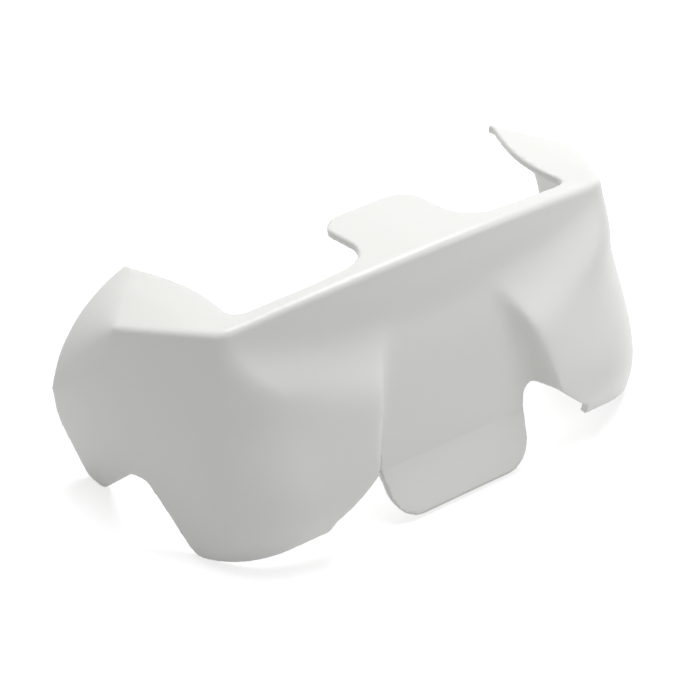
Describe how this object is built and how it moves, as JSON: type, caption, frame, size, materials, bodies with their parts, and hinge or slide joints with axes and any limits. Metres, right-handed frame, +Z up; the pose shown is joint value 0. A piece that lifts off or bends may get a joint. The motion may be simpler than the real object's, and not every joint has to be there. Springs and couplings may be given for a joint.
{
  "type": "helmet spoiler",
  "caption": "Moulded rear helmet spoiler: a thin curved shell with a raised ridge, side wings, bulging lobes, a recessed panel with a tongue, and a tab over the crown.",
  "frame": {"origin": "centre of the bounding box in plan, at the level of the lowest edges that the shell rests on", "axes": "+X to the right as seen from behind, across the mirror plane; +Y towards the front of the helmet; +Z up"},
  "size_m": [0.2036, 0.091, 0.0885],
  "materials": {
    "moulded_shell": "smooth satin-gloss injection-moulded ABS, self-coloured white"
  },
  "bodies": {
    "root": {"spoiler_shell": "moulded_shell"}
  },
  "joints": []
}
